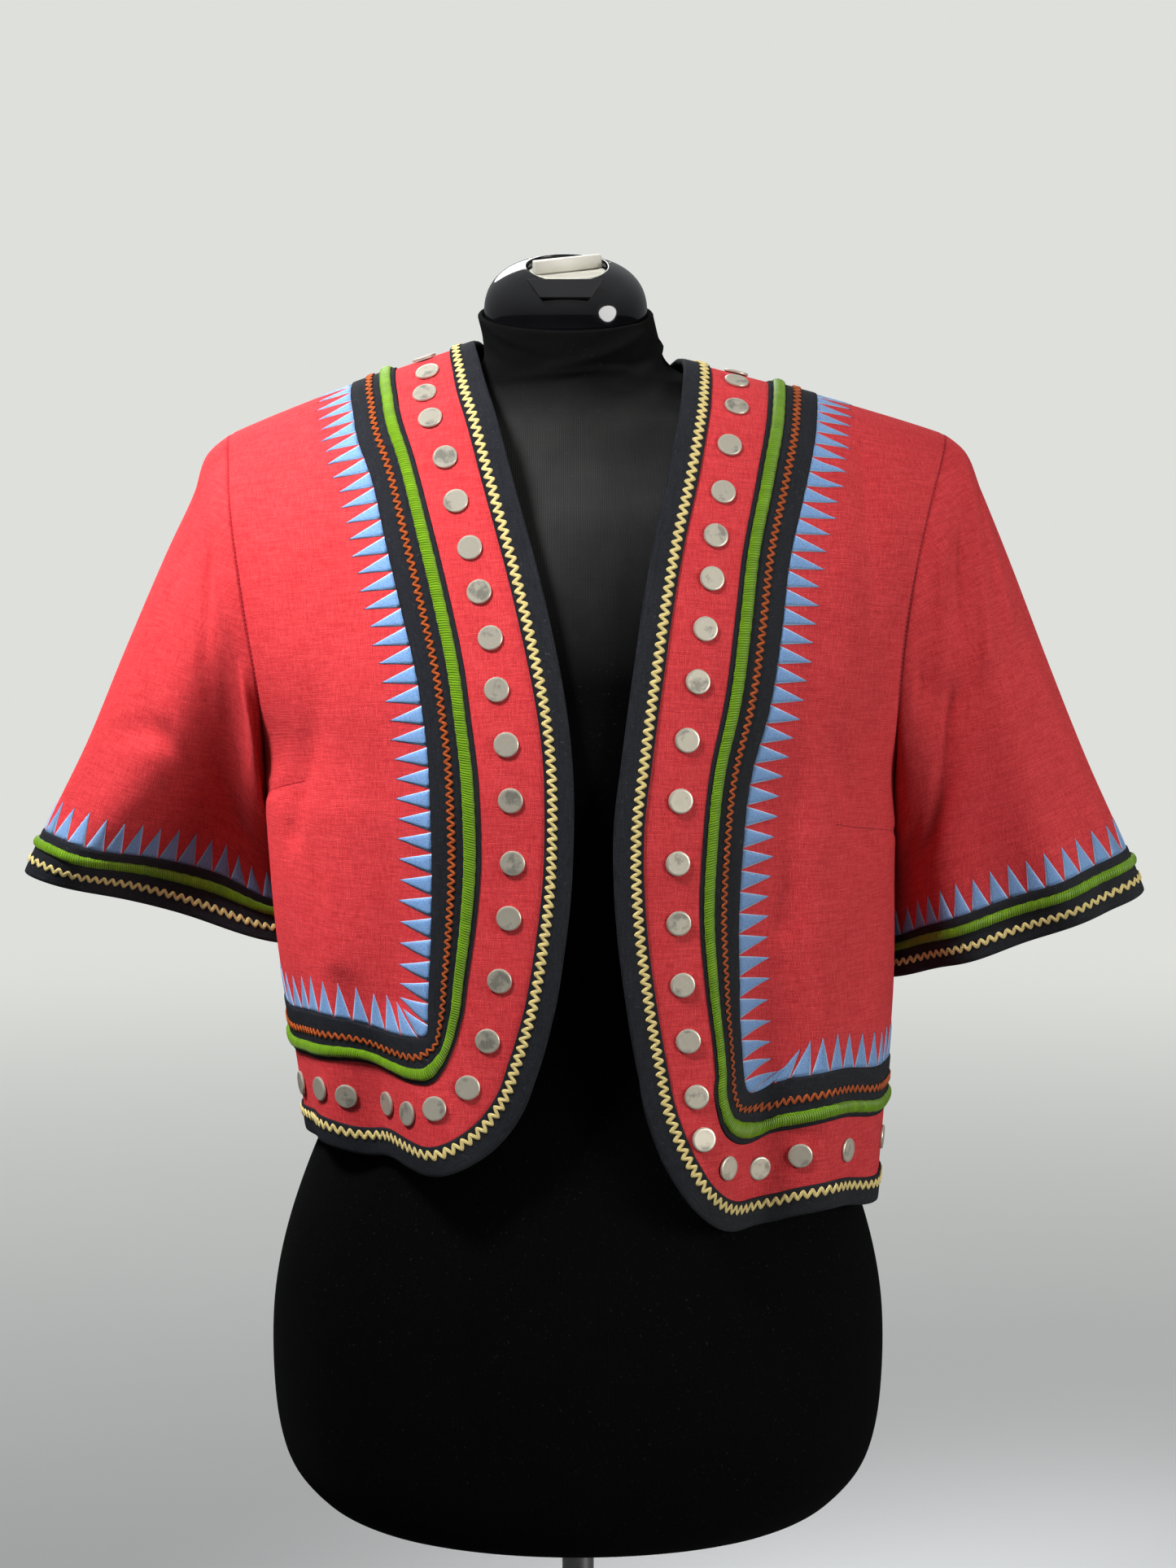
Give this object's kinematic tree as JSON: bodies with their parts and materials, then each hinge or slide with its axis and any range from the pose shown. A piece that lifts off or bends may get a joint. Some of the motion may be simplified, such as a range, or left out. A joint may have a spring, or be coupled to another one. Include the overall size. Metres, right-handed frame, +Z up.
{
  "type": "linen jacket on a dress form",
  "caption": "Short open-fronted linen jacket with wide elbow-length sleeves and couched trims, worn by a padded dress form on a pole with a round base.",
  "frame": {"origin": "centre of the round base's underside, on the floor", "axes": "+Z up along the pole, -Y towards the front of the jacket, +X towards the wearer's left"},
  "size_m": [0.658, 0.3, 1.074],
  "materials": {
    "linen": "red slubbed plain weave",
    "band": "matte black cotton",
    "cream_ricrac": "cream braid",
    "rust_ricrac": "rust braid",
    "green_cord": "green satin cord",
    "knit": "fine black knit over padding",
    "gloss_black": "gloss black",
    "matte_black": "matte black",
    "ivory": "ivory plastic",
    "pole_steel": "satin steel",
    "base_black": "black powder coat"
  },
  "bodies": {
    "root": {"back_hem_edge_band": "band", "back_hem_edge_cream_ricrac": "cream_ricrac", "back_hem_inner_band": "band", "back_hem_inner_green_cord": "green_cord", "back_hem_inner_rust_ricrac": "rust_ricrac", "back_neck_edge_band": "band", "back_neck_edge_cream_ricrac": "cream_ricrac", "back_neck_inner_band": "band", "back_neck_inner_green_cord": "green_cord", "back_neck_inner_rust_ricrac": "rust_ricrac", "back_panel": "linen", "dial": "ivory", "dial_bar": "ivory", "dial_plate": "matte_black", "form_body": "knit", "front_left": "linen", "front_left_edge_band": "band", "front_left_edge_cream_ricrac": "cream_ricrac", "front_left_inner_band": "band", "front_left_inner_green_cord": "green_cord", "front_left_inner_rust_ricrac": "rust_ricrac", "front_right": "linen", "front_right_edge_band": "band", "front_right_edge_cream_ricrac": "cream_ricrac", "front_right_inner_band": "band", "front_right_inner_green_cord": "green_cord", "front_right_inner_rust_ricrac": "rust_ricrac", "neck_cap": "gloss_black", "pole": "pole_steel", "pole_collar": "gloss_black", "pole_socket": "gloss_black", "sleeve_left": "linen", "sleeve_left_band": "band", "sleeve_left_cream_ricrac": "cream_ricrac", "sleeve_left_green_cord": "green_cord", "sleeve_right": "linen", "sleeve_right_band": "band", "sleeve_right_cream_ricrac": "cream_ricrac", "sleeve_right_green_cord": "green_cord", "stand_base": "base_black"}
  },
  "joints": []
}
